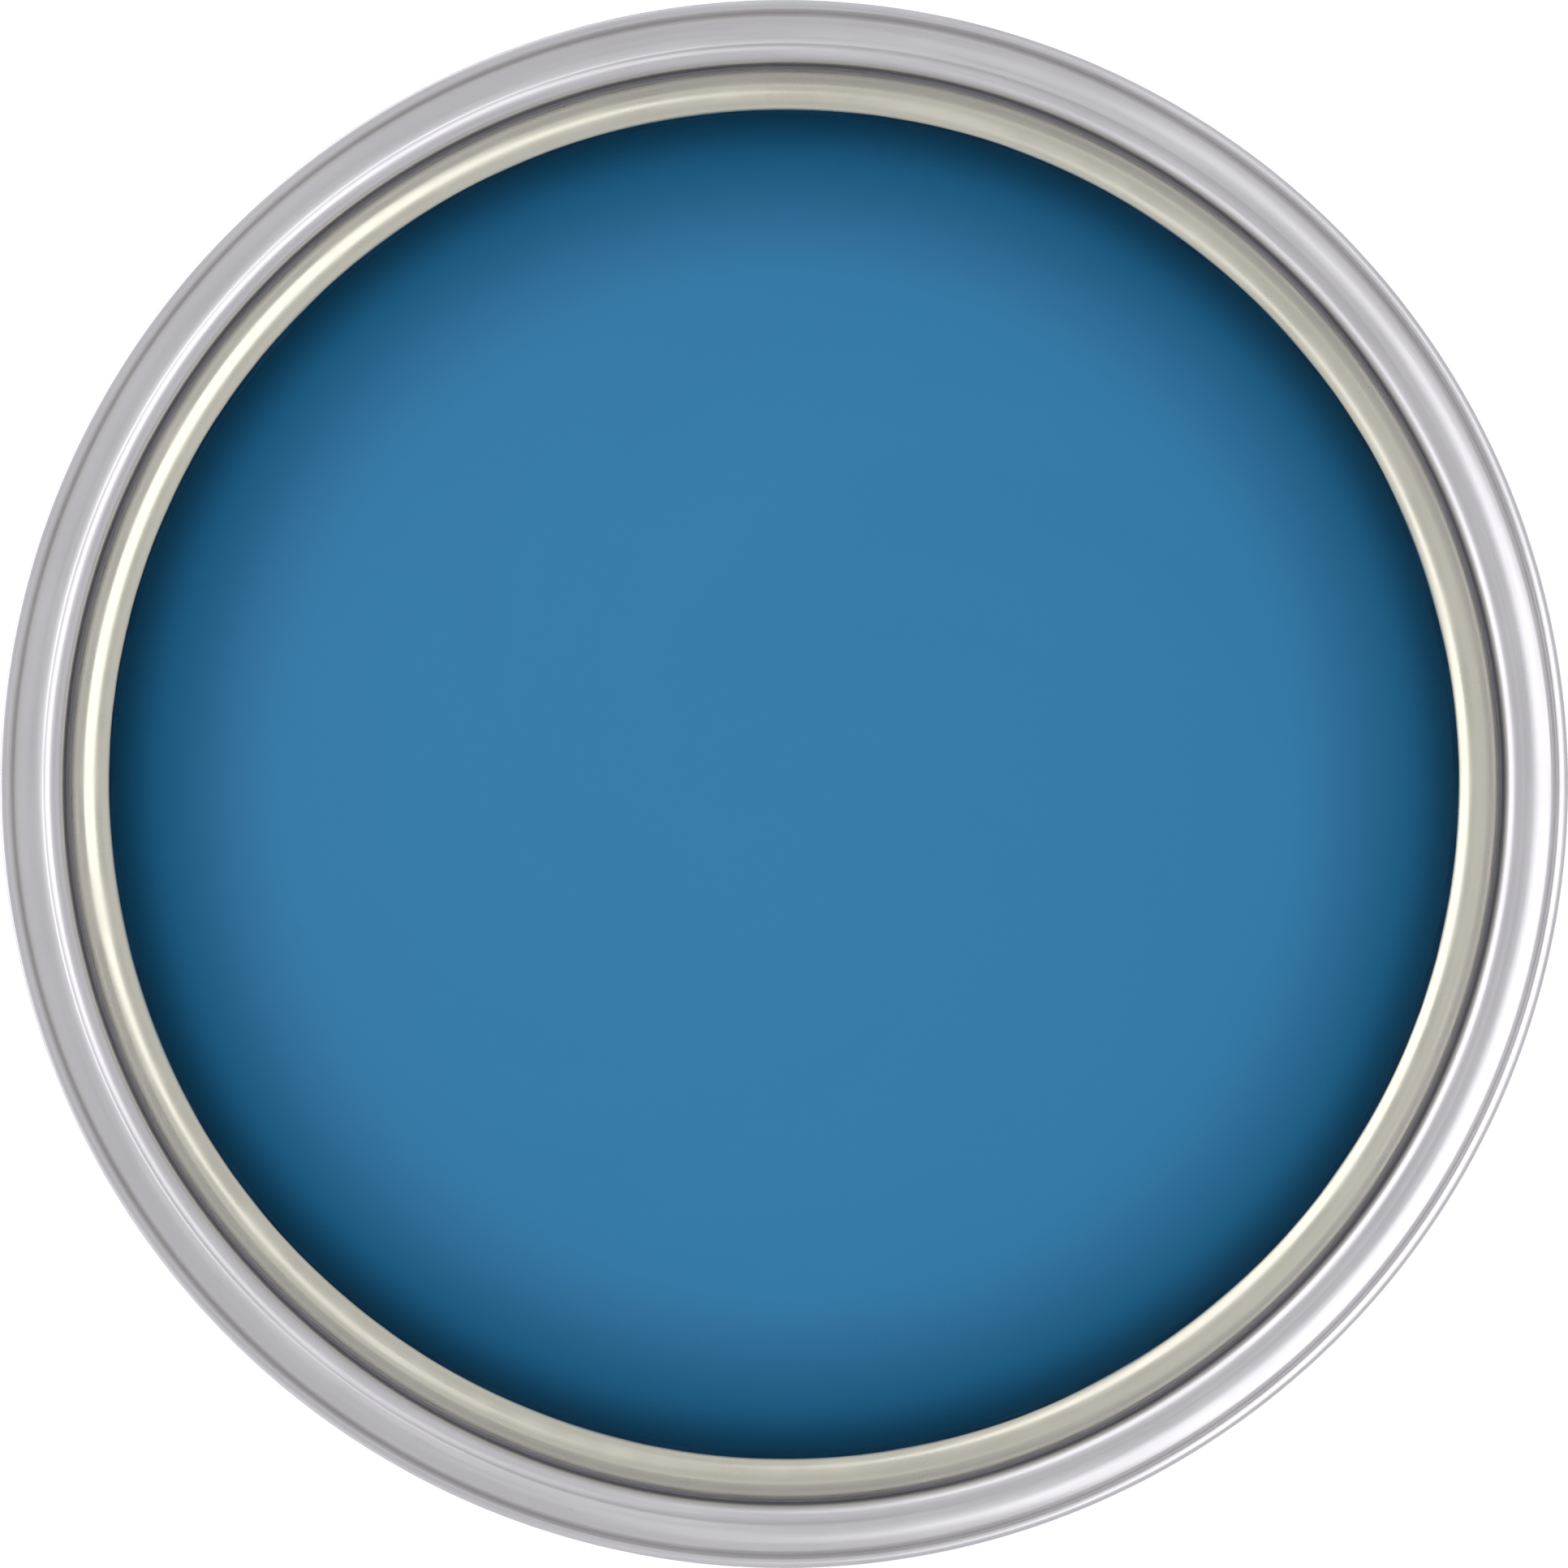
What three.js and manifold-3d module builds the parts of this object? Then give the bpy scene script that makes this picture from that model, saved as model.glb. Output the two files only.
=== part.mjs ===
// An open 2.5 litre paint tin: a welded tinplate body with a double-seamed bottom and lever-lid ring,
// full of paint, with a paper label and a wire bail that hangs in two pressed ears.
// Millimetres, +Z up. The origin is the middle of the circle that the tin stands on, and the ears are on X.
import * as THREE from 'three';
import { mergeVertices } from 'three/addons/utils/BufferGeometryUtils.js';
import Module from 'manifold-3d';

const wasm = await Module();
wasm.setup();

// ---- Driving dimensions ----
const TIN_HEIGHT = 146;
const SEAM_RADIUS = 85; // outside of both seams, the widest round part of the tin
const SHEET = 0.19; // tinplate
const LAYER_GAP = 0.04; // between the layers that a seam rolls together
const SEAM_HEIGHT = 3;
const SEAM_BEND = 0.3; // how tightly the cover turns over a seam, at mid sheet
const HOOK_END = 1.2; // from a seam's flat to the free end of the cover's hook
const BODY_HOOK_TOP = 0.825; // from a seam's flat to where the body's flange turns over
const BODY_HOOK_END = 2.45;
const COMPOUND_CLEARANCE = 0.11; // from a seam's flat to its sealing compound
const SIDES = 48; // facets round the tin
const BEND_STEPS = 2; // facets in a bend of the sheet
const ROUND_STEPS = 3; // and in a bend that turns a quarter circle in plain sight
const MERGE_DISTANCE = 1e-4; // points closer than this are one point
const STATION_ROUNDING = 1e-6; // keeps a station from falling just short of its own number

// The lever-lid ring's profile, at mid sheet. Depths are below the rim, and slopes are in degrees.
const CHANNEL_RADIUS = 81.1; // lowest line of the round channel inside the seam
const CHANNEL_DEPTH = 3.2;
const CHANNEL_OUTER_BEND = 3.93;
const CHANNEL_OUTER_SLOPE = 38; // where the bend tightens to meet the chuck wall
const CHANNEL_INNER_BEND = 0.93;
const BEAD_SLOPE = 22; // steepest, between the channel and the raised bead
const BEAD_OUTER_BEND = 1.7;
const BEAD_INNER_BEND = 1.5;
const GROOVE_DEPTH = 5.15;
const GROOVE_CORNER = 0.6;
const MOUTH_RADIUS = 73.37; // clear mouth, inside the curl
const CURL_DEPTH = 1; // crest of the curl
const CURL_EDGE_BEND = 0.4; // where the curl turns up out of the mouth
const CURL_EDGE_SLOPE = 52; // and eases into the wider bend up to its crest
const CURL_INNER_BEND = 1.665;
const CURL_OUTER_BEND = 2.1;
const CURL_SHOULDER = 40; // slope where the curl opens out
const CURL_TAIL_BEND = 7.5;
const CURL_TAIL_SLOPE = 60; // at its free edge, which stands in the groove

const BASE_CORNER = 1;
const BASE_PANEL = 4.4; // height of the bottom's panel above the ground, at mid sheet
const BASE_STEP = 0.9; // how far its pressed rings drop
const BASE_RINGS = [[70, 60], [44, 34]]; // outer and inner radius of each pressed ring

const FILL_DEPTH = 28; // paint surface, below the rim
const FILL_RADIUS = 83.85;
const FILL_GAP = 0.2; // from the bottom's panel to the paint

const LABEL_BOTTOM = 12;
const LABEL_TOP = 96;
const LABEL_PAPER = 0.2;
const LABEL_GAP = 0.1;

const EAR_HEIGHT = 114; // bail's pivot
const EAR_SHEET = 0.8;
const EAR_GAP = 0.3; // from the body to an ear's flange
const EAR_FLANGE = 14;
const EAR_DOME_FOOT = 9;
const EAR_DOME_TOP = 5.6;
const EAR_BEND = 0.5;
const EAR_DOME_RISE = 3.6; // from the flange's foot to the dome's top
const EAR_HOLE = 1.75;
const EAR_SIDES = 24;

const WIRE_RADIUS = 1.4;
const WIRE_SIDES = 8;
const WIRE_BEND = 2;
const HEAD_RADIUS = 3;
const HEAD_THICKNESS = 1.3;
const HEAD_PLAY = 0.5; // from an upset head to the ear's plate
const BAIL_REACH = 112; // from the pivots to the middle of the loop
const BAIL_STRAIGHT = 8; // each arm runs straight past its ear for this far
const BAIL_TAPER_END = 33; // and closes in until here
const BAIL_WIDTH = 87.2; // half width of the loop's round part
const BAIL_STAND_OFF = 0.2; // from the label to the hanging wire
const WIRE_BEND_STEPS = 5;
const BAIL_ARM_STEPS = 5;
const BAIL_LOOP_STEPS = 24;

// ---- Radii of the five layers of a seam, at mid sheet, from outside to inside ----
const layer = SHEET + LAYER_GAP;
const coverLeg = SEAM_RADIUS - SHEET / 2;
const bodyHook = coverLeg - layer;
const coverHook = bodyHook - layer;
const bodyWall = coverHook - layer;
const chuckWall = bodyWall - layer;
const bodyOutside = bodyWall + SHEET / 2;

// ---- Materials ----
const finish = (color, roughness, metalness) => new THREE.MeshStandardMaterial({ color, roughness, metalness });
const tinplate = () => finish(0xb4b1b6, 0.3, 1);
const galvanised = () => finish(0x9a9c9e, 0.42, 1);
const sealingCompound = () => finish(0x6d6a62, 0.8, 0);
const paper = () => finish(0xf1efe9, 0.75, 0);
const bluePaint = () => finish(0x357fae, 0.35, 0);

// ---- Helpers ----
const rad = THREE.MathUtils.degToRad;
const point = (radius, height) => new THREE.Vector2(radius, height);

// Points on an arc. Angles are in degrees from the outward direction towards greater height.
function arc(radius, height, bend, from, to, steps = BEND_STEPS) {
  const points = [];
  for (let i = 0; i <= steps; i += 1) {
    const angle = rad(THREE.MathUtils.lerp(from, to, i / steps));
    points.push(point(radius + bend * Math.cos(angle), height + bend * Math.sin(angle)));
  }
  return points;
}

// One face of a sheet that follows a path: the path moved sideways by offset, mitred at each corner.
function offsetPath(path, offset) {
  return path.map((p, i) => {
    const before = path[Math.max(i - 1, 0)];
    const after = path[Math.min(i + 1, path.length - 1)];
    const into = i === 0 ? after.clone().sub(p) : p.clone().sub(before);
    const out = i === path.length - 1 ? into.clone() : after.clone().sub(p);
    const normals = [into, out].map((d) => point(-d.y, d.x).normalize());
    const mitre = normals[0].clone().add(normals[1]).divideScalar(1 + normals[0].dot(normals[1]));
    return p.clone().addScaledVector(mitre, offset);
  });
}

function signedArea(loop) {
  return loop.reduce((sum, p, i) => sum + p.cross(loop[(i + 1) % loop.length]), 0) / 2;
}

// A profile turned round the tin's axis. A loop that doesn't touch the axis is closed on itself.
function turned(loop, sides = SIDES) {
  const upward = signedArea(loop) > 0 ? loop.slice() : loop.slice().reverse();
  const onAxis = upward.findIndex((p, i) => p.x === 0 && upward[(i + 1) % upward.length].x === 0);
  const profile = onAxis < 0
    ? [...upward, upward[0]]
    : [...upward.slice(onAxis + 1), ...upward.slice(0, onAxis + 1)];
  return new THREE.LatheGeometry(profile, sides).rotateX(Math.PI / 2);
}

// A pressed sheet turned round the tin's axis, from the path that the middle of the sheet follows.
function pressed(path, sheet = SHEET, sides = SIDES) {
  const faces = [offsetPath(path, sheet / 2), offsetPath(path, -sheet / 2).reverse()];
  return turned(faces.flat(), sides);
}

function band(inside, outside, bottom, top) {
  return turned([point(inside, bottom), point(outside, bottom), point(outside, top), point(inside, top)]);
}

// A path drawn as depths below the rim, as heights.
const fromRim = (path) => path.map((p) => point(p.x, TIN_HEIGHT - p.y));

function solidOf(geometry) {
  const bare = geometry.clone();
  bare.deleteAttribute('normal');
  bare.deleteAttribute('uv');
  const merged = mergeVertices(bare, MERGE_DISTANCE);
  return new wasm.Manifold(new wasm.Mesh({
    numProp: 3,
    vertProperties: Float32Array.from(merged.attributes.position.array),
    triVerts: Uint32Array.from(merged.index.array),
  }));
}

function geometryOf(solid) {
  const mesh = solid.getMesh();
  const geometry = new THREE.BufferGeometry();
  geometry.setAttribute('position', new THREE.BufferAttribute(mesh.vertProperties, 3));
  geometry.setIndex(new THREE.BufferAttribute(mesh.triVerts, 1));
  geometry.computeVertexNormals();
  return geometry;
}

function piece(name, geometry, material) {
  const mesh = new THREE.Mesh(geometry, material);
  mesh.name = name;
  return mesh;
}

// ---- The tin ----

// A cover's edge as a seam holds it: along its hook, up the outside, over the seam's flat to the chuck wall.
// Heights are measured from the seam's flat.
function coverEdge() {
  const skin = SHEET / 2;
  return [
    point(coverHook, HOOK_END),
    point(coverHook, SEAM_HEIGHT - skin),
    point(coverLeg, SEAM_HEIGHT - skin),
    ...arc(coverLeg - SEAM_BEND, skin + SEAM_BEND, SEAM_BEND, 0, -90, BEND_STEPS),
    ...arc(chuckWall + SEAM_BEND, skin + SEAM_BEND, SEAM_BEND, -90, -180, BEND_STEPS),
  ];
}

// The body's wall with a flange turned outwards and back at each end.
function bodyShell() {
  const flange = [
    point(bodyHook, BODY_HOOK_END),
    point(bodyHook, BODY_HOOK_TOP),
    point(bodyWall, BODY_HOOK_TOP),
  ];
  return pressed([...flange, ...fromRim(flange).reverse()]);
}

// The bottom: seam, chuck wall, then a panel with pressed rings that let it flex.
function bottomEnd() {
  const rings = BASE_RINGS.flatMap(([outer, inner]) => [
    point(outer, BASE_PANEL),
    point(outer - BASE_STEP, BASE_PANEL - BASE_STEP),
    point(inner + BASE_STEP, BASE_PANEL - BASE_STEP),
    point(inner, BASE_PANEL),
  ]);
  return pressed([
    ...coverEdge(),
    ...arc(chuckWall - BASE_CORNER, BASE_PANEL - BASE_CORNER, BASE_CORNER, 0, 90, BEND_STEPS),
    ...rings,
    point(0, BASE_PANEL),
  ]);
}

// Rounds of the ring's profile: a hollow is given by its lowest line, and a crest by its highest.
const hollow = (radius, depth, bend, from, to, steps) => arc(radius, depth - bend, bend, from, to, steps);
const crest = (radius, depth, bend, from, to, steps) => arc(radius, depth + bend, bend, from, to, steps);

// The lever-lid ring, from its seam inwards: a round channel, a raised bead, a deep groove, and the mouth's edge,
// which stands up and is rolled outwards so that its raw edge ends in the groove. Heights here are depths.
function leverRing() {
  const outerSlope = 90 - CHANNEL_OUTER_SLOPE;
  const steep = Math.sin(rad(CHANNEL_OUTER_SLOPE));
  const cornerBend = (chuckWall - CHANNEL_RADIUS - CHANNEL_OUTER_BEND * steep) / (1 - steep);
  const cornerRise = (CHANNEL_OUTER_BEND - cornerBend) * (1 - Math.cos(rad(CHANNEL_OUTER_SLOPE)));
  const cornerDepth = CHANNEL_DEPTH - cornerRise;

  const beadBends = CHANNEL_INNER_BEND + BEAD_OUTER_BEND;
  const beadRadius = CHANNEL_RADIUS - beadBends * Math.sin(rad(BEAD_SLOPE));
  const beadDepth = CHANNEL_DEPTH - beadBends * (1 - Math.cos(rad(BEAD_SLOPE)));
  const grooveWall = beadRadius - BEAD_INNER_BEND;

  const mouthWall = MOUTH_RADIUS + SHEET / 2;
  const edgeBends = CURL_INNER_BEND - CURL_EDGE_BEND;
  const edgeRadius = mouthWall + CURL_EDGE_BEND;
  const edgeDepth = CURL_DEPTH + edgeBends * (1 - Math.cos(rad(CURL_EDGE_SLOPE)));
  const curlRadius = edgeRadius + edgeBends * Math.sin(rad(CURL_EDGE_SLOPE));
  const tailBends = CURL_TAIL_BEND - CURL_OUTER_BEND;
  const tailRadius = curlRadius - tailBends * Math.sin(rad(CURL_SHOULDER));
  const tailDepth = CURL_DEPTH - tailBends * (1 - Math.cos(rad(CURL_SHOULDER)));
  const edgeSlope = -90 - CURL_EDGE_SLOPE;
  const shoulder = CURL_SHOULDER - 90;

  return pressed(fromRim([
    ...coverEdge(),
    ...hollow(chuckWall - cornerBend, cornerDepth, cornerBend, 0, outerSlope),
    ...hollow(CHANNEL_RADIUS, CHANNEL_DEPTH, CHANNEL_OUTER_BEND, outerSlope, 90).slice(1),
    ...hollow(CHANNEL_RADIUS, CHANNEL_DEPTH, CHANNEL_INNER_BEND, 90, 90 + BEAD_SLOPE).slice(1),
    ...crest(beadRadius, beadDepth, BEAD_OUTER_BEND, BEAD_SLOPE - 90, -90).slice(1),
    ...crest(beadRadius, beadDepth, BEAD_INNER_BEND, -90, -180, ROUND_STEPS).slice(1),
    ...hollow(grooveWall - GROOVE_CORNER, GROOVE_DEPTH, GROOVE_CORNER, 0, 90),
    ...hollow(mouthWall + GROOVE_CORNER, GROOVE_DEPTH, GROOVE_CORNER, 90, 180),
    ...crest(edgeRadius, edgeDepth, CURL_EDGE_BEND, -180, edgeSlope),
    ...crest(curlRadius, CURL_DEPTH, CURL_INNER_BEND, edgeSlope, -90).slice(1),
    ...crest(curlRadius, CURL_DEPTH, CURL_OUTER_BEND, -90, shoulder).slice(1),
    ...crest(tailRadius, tailDepth, CURL_TAIL_BEND, shoulder, CURL_TAIL_SLOPE - 90).slice(1),
  ]));
}

// Sealing compound that fills the room between a seam's flat and the body's flange, clear of both bends.
function seamCompound() {
  const middle = (coverLeg + chuckWall) / 2;
  const halfWidth = (coverLeg - chuckWall) / 2 - SEAM_BEND + LAYER_GAP;
  const top = BODY_HOOK_TOP - SHEET / 2 - LAYER_GAP;
  return band(middle - halfWidth, middle + halfWidth, SHEET + COMPOUND_CLEARANCE, top);
}

function paintFill() {
  const bottom = BASE_PANEL + SHEET / 2 + FILL_GAP;
  const top = TIN_HEIGHT - FILL_DEPTH;
  return turned([point(0, bottom), point(FILL_RADIUS, bottom), point(FILL_RADIUS, top), point(0, top)]);
}

// ---- Ears and bail ----

// A round pressed ear: a flange bent round the body, with a dome whose flat top has the hole for the bail.
function ear(turn) {
  const foot = bodyOutside + EAR_GAP;
  const mid = foot + EAR_SHEET / 2;
  const top = foot + EAR_DOME_RISE - EAR_SHEET / 2;
  const path = [
    point(EAR_FLANGE, mid),
    point(EAR_DOME_FOOT + EAR_BEND, mid),
    point(EAR_DOME_FOOT - EAR_BEND, mid + EAR_BEND),
    point(EAR_DOME_TOP + EAR_BEND, top - EAR_BEND),
    point(EAR_DOME_TOP - EAR_BEND, top),
    point(EAR_HOLE, top),
  ];
  // The ear is turned round Z, laid along X with its dome outwards, then bent round the tin's axis.
  const geometry = pressed(path, EAR_SHEET, EAR_SIDES).rotateY(Math.PI / 2);
  const place = geometry.attributes.position;
  for (let i = 0; i < place.count; i += 1) {
    const angle = place.getY(i) / foot;
    place.setXY(i, place.getX(i) * Math.cos(angle), place.getX(i) * Math.sin(angle));
  }
  return geometry.rotateZ(turn).translate(0, 0, EAR_HEIGHT);
}

// A line through stations, stepped from one to the next whatever the distance between them.
class StationLine extends THREE.Curve {
  constructor(stations) {
    super();
    this.stations = stations;
  }

  getPoint(t, target = new THREE.Vector3()) {
    const at = t * (this.stations.length - 1);
    const i = Math.min(Math.floor(at + STATION_ROUNDING), this.stations.length - 2);
    return target.lerpVectors(this.stations[i], this.stations[i + 1], at - i);
  }

  getPointAt(t, target) {
    return this.getPoint(t, target);
  }

  getTangentAt(t, target = new THREE.Vector3()) {
    const last = this.stations.length - 1;
    const i = Math.round(t * last);
    const before = this.stations[Math.max(i - 1, 0)];
    const after = this.stations[Math.min(i + 1, last)];
    return target.subVectors(after, before).normalize();
  }
}

// Half of the bail, drawn flat as [distance from the middle, distance from the pivots], from head to top.
function bailHalf() {
  const plate = bodyOutside + EAR_GAP + EAR_DOME_RISE;
  const arm = plate + WIRE_BEND;
  const head = plate - EAR_SHEET - HEAD_PLAY - HEAD_THICKNESS / 2;
  const points = [point(head, 0), ...arc(plate, WIRE_BEND, WIRE_BEND, -90, 0, WIRE_BEND_STEPS)];
  for (let i = 0; i <= BAIL_ARM_STEPS; i += 1) {
    const along = THREE.MathUtils.lerp(BAIL_STRAIGHT, BAIL_TAPER_END, i / BAIL_ARM_STEPS);
    const closed = THREE.MathUtils.smoothstep(along, BAIL_STRAIGHT, BAIL_TAPER_END);
    points.push(point(THREE.MathUtils.lerp(arm, BAIL_WIDTH, closed), along));
  }
  const loop = arc(0, 0, 1, 0, 90, BAIL_LOOP_STEPS / 2).slice(1);
  const rise = BAIL_REACH - BAIL_TAPER_END;
  points.push(...loop.map((p) => point(BAIL_WIDTH * p.x, BAIL_TAPER_END + rise * p.y)));
  return points;
}

// The bail hangs in front of the tin with the middle of its loop against the label.
function bail() {
  const rest = bodyOutside + LABEL_GAP + LABEL_PAPER + BAIL_STAND_OFF + WIRE_RADIUS;
  const hang = Math.acos(rest / BAIL_REACH);
  const half = bailHalf();
  const whole = [...half, ...half.slice(0, -1).reverse().map((p) => point(-p.x, p.y))];
  const stations = whole.map((p) => new THREE.Vector3(p.x, -p.y * Math.cos(hang), -p.y * Math.sin(hang)));
  const section = new THREE.Shape(arc(0, 0, WIRE_RADIUS, 0, 360, WIRE_SIDES).slice(1));
  const wire = new THREE.ExtrudeGeometry(section, {
    steps: stations.length - 1,
    bevelEnabled: false,
    extrudePath: new StationLine(stations),
  });
  const head = new THREE.CylinderGeometry(HEAD_RADIUS, HEAD_RADIUS, HEAD_THICKNESS, 2 * WIRE_SIDES);
  head.rotateZ(Math.PI / 2);
  const heads = [half[0].x, -half[0].x].map((x) => solidOf(head.clone().translate(x, 0, 0)));
  return geometryOf(solidOf(wire).add(heads[0]).add(heads[1])).translate(0, 0, EAR_HEIGHT);
}

// ---- Assembly ----
const labelInside = bodyOutside + LABEL_GAP;
const topCompound = seamCompound().rotateX(Math.PI).translate(0, 0, TIN_HEIGHT);

const tin = new THREE.Group();
tin.add(
  piece('body_shell', bodyShell(), tinplate()),
  piece('bottom_end', bottomEnd(), tinplate()),
  piece('lever_ring', leverRing(), tinplate()),
  piece('bottom_seam_compound', seamCompound(), sealingCompound()),
  piece('top_seam_compound', topCompound, sealingCompound()),
  piece('paper_label', band(labelInside, labelInside + LABEL_PAPER, LABEL_BOTTOM, LABEL_TOP), paper()),
  piece('paint_fill', paintFill(), bluePaint()),
  piece('right_ear', ear(0), tinplate()),
  piece('left_ear', ear(Math.PI), tinplate()),
  piece('bail', bail(), galvanised()),
);

export default tin;
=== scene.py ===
"""An open 2.5 litre tin of blue paint, seen from straight above: smooth, finished pieces round the CAD model.

Lengths below are in millimetres, and MM turns them into metres where a mesh is made. The origin is the middle
of the circle that the tin stands on, +Z is up, the ears are on X, and the bail hangs on the -Y side.
"""

import math

import bmesh
import bpy
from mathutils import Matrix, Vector, noise


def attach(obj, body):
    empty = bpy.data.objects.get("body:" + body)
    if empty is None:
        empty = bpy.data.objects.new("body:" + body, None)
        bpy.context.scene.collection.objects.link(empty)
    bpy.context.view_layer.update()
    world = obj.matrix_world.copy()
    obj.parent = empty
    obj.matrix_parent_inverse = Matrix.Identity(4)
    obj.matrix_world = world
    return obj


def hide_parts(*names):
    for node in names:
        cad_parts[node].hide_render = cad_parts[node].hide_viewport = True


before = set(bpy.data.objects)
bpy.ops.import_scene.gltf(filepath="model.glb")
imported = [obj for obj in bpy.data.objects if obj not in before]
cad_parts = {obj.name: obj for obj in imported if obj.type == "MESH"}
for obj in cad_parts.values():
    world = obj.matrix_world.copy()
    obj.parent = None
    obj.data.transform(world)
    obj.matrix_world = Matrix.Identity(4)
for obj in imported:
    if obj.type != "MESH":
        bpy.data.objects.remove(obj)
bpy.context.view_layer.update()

MM = 0.001

# ---- Tin, as in the CAD source, but for the seam's two bends ----
TIN_HEIGHT = 146
SEAM_RADIUS = 85
SHEET = 0.19
LAYER_GAP = 0.04
SEAM_HEIGHT = 3
SEAM_OUTER_BEND = 0.1
SEAM_INNER_BEND = 0.8
HOOK_END = 1.2
BODY_HOOK_TOP = 0.825
BODY_HOOK_END = 2.45
SKIN = SHEET / 2
COMPOUND_GAP = 0.03  # less than in the CAD, whose sides are flat
WALL_MARGIN = 6  # from each end of the tin to the wall's plain part
FREE_WALL = (3, 20)  # how far from each end the wall starts and ends to be free of the seam's grip
OUT_OF_ROUND = 0.04
WELD_HEIGHT = 0.05
WELD_EDGE = (0.35, 0.75)

COVER_LEG = SEAM_RADIUS - SKIN
BODY_HOOK = COVER_LEG - SHEET - LAYER_GAP
COVER_HOOK = BODY_HOOK - SHEET - LAYER_GAP
BODY_WALL = COVER_HOOK - SHEET - LAYER_GAP
CHUCK_WALL = BODY_WALL - SHEET - LAYER_GAP
BODY_OUTSIDE = BODY_WALL + SKIN
SEAM_FOLD = (COVER_LEG - COVER_HOOK) / 2

# ---- Lever-lid ring: depths are below the rim, and slopes are in degrees ----
CHANNEL_RADIUS = 81.1
CHANNEL_DEPTH = 3.2
CHANNEL_OUTER_BEND = 3.93
CHANNEL_OUTER_SLOPE = 38
CHANNEL_INNER_BEND = 0.93
BEAD_SLOPE = 22
BEAD_OUTER_BEND = 1.7
BEAD_INNER_BEND = 1.5
GROOVE_DEPTH = 5.15
GROOVE_CORNER = 0.6
MOUTH_RADIUS = 73.37
CURL_DEPTH = 1
CURL_EDGE_BEND = 0.4
CURL_EDGE_SLOPE = 52
CURL_INNER_BEND = 1.665
CURL_OUTER_BEND = 2.1
CURL_SHOULDER = 40
CURL_TAIL_BEND = 7.5
CURL_TAIL_SLOPE = 60

# ---- Small waves in the ring: the radii where each fades in and out, and its size ----
CHANNEL_WAVE_IN = (79, 81.5)
CHANNEL_WAVE_OUT = (82.2, 83.4)
CHANNEL_WAVE = 0.07
CURL_WAVE_OUT = (78, 79)
CURL_WAVE = 0.05

# ---- Bottom ----
BASE_PANEL = 4.4
BASE_CORNER = 1
BASE_STEP = 0.9
BASE_RINGS = ((70, 60), (44, 34))
BASE_BEND = 0.8

# ---- Paint ----
FILL_GAP = 0.2
PAINT_BOTTOM = BASE_PANEL + SKIN + FILL_GAP
PAINT_TOP = TIN_HEIGHT - 28
PAINT_RADIUS = 83.85
MENISCUS = 0.9
MENISCUS_WIDTH = 2.5
SURFACE_STEP = 2.5
SWIRL = 38  # radians of twist in the stirred streaks for each metre from the axis
SWIRL_START = 0.5
PAINTED_WALL_SHADE = ((57.5, 70, 0.87), (71.5, 78.5, 0.42))  # radii where painted shade darkens the paint's colour, and to what part

# ---- Label: thinner than the CAD's closed band, so that its lap stays close to that band ----
LABEL_BOTTOM = 12
LABEL_TOP = 96
LABEL_PAPER = 0.14
LABEL_GAP = 0.06
LABEL_LAP = 12
LABEL_START = 128  # degrees from +X, where the paper's covered end is
LABEL_LIFT = 0.03  # between the two layers of the lap
LABEL_CURL = 0.05
LABEL_RIPPLE = 0.02
LABEL_BANDS = ((26, 46), (23, 23.6), (48.4, 49))
CAD_LABEL_GAP = 0.1
CAD_LABEL_PAPER = 0.2

# ---- Ears and bail ----
EAR_HEIGHT = 114
EAR_SHEET = 0.8
EAR_FOOT = BODY_OUTSIDE + 0.3  # the back of the ear's flange
EAR_FLANGE = 14
EAR_DOME_FOOT = 9
EAR_DOME_TOP = 5.6
EAR_DOME_RISE = 3.6
EAR_HOLE = 1.75
EAR_DOME_BEND = 1.1
EAR_EDGE_BEND = 0.3
SPOT_WELDS = 4
SPOT_WELD_START = 45  # degrees round the ear
SPOT_WELD_RING = 11.7
SPOT_WELD_RADIUS = 1.2
SPOT_WELD_DEPTH = 0.22

WIRE_RADIUS = 1.4
WIRE_BEND = 2
HEAD_RADIUS = 3
HEAD_THICKNESS = 1.3
HEAD_EDGE = ((0, 0.7), (0.12, 0.25), (0.35, 0.03), (0.65, 0))  # from a face, short of the radius
HEAD_NECK = ((0.12, 1.85), (0.35, 1.55))  # distance past the head, radius
HEAD_PLAY = 0.5
BAIL_REACH = 112
BAIL_STRAIGHT = 8
BAIL_TAPER_END = 33
BAIL_WIDTH = 87.2
BAIL_STAND_OFF = 0.2
BAIL_REST = BODY_OUTSIDE + CAD_LABEL_GAP + CAD_LABEL_PAPER + BAIL_STAND_OFF + WIRE_RADIUS

# ---- Dust in the ring's groove, in metres: it thickens from one height down to the next ----
DUST_NONE = (TIN_HEIGHT - 4.6) * MM
DUST_FULL = (TIN_HEIGHT - 5) * MM
DUST_LOWEST = (TIN_HEIGHT - 6) * MM
DUST_RADIUS = 79.4 * MM
CLEAN_METAL = 0.88
DUSTY_METAL = 0.4

# ---- Paint left on the mouth's wall, in metres; its near-black colour is painted shade ----
FILM_TOP = (TIN_HEIGHT - 1.35) * MM
FILM_EDGE = 0.0001
FILM_DRIP = 0.0006
FILM_RADIUS = 73.7 * MM
# a real smear of paint, but coloured near black as painted shade for the shaded wall under the curl
SHADED_FILM_COLOR = (0.001, 0.014, 0.028)

# ---- Camera and light ----
CAMERA_ABOVE_RIM = 0.4
VIEW_HALF_WIDTH = 0.08495
SENSOR_WIDTH = 36
TABLE_HALF = 4000
TABLE_DROP = 0.2
ROOM_RAMP = ((0.0, 0.82), (0.3, 0.76), (0.56, 0.61), (0.85, 0.55), (1.0, 0.53))  # horizon to zenith, level
ROOM_BLUE = 1.015
ROOM_FILL = 0.45  # how much of the room's light falls on dull surfaces
LIGHT_DISTANCE = 1.3


# ---- Profiles ----


def sine(degrees):
    return math.sin(math.radians(degrees))


def cosine(degrees):
    return math.cos(math.radians(degrees))


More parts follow.
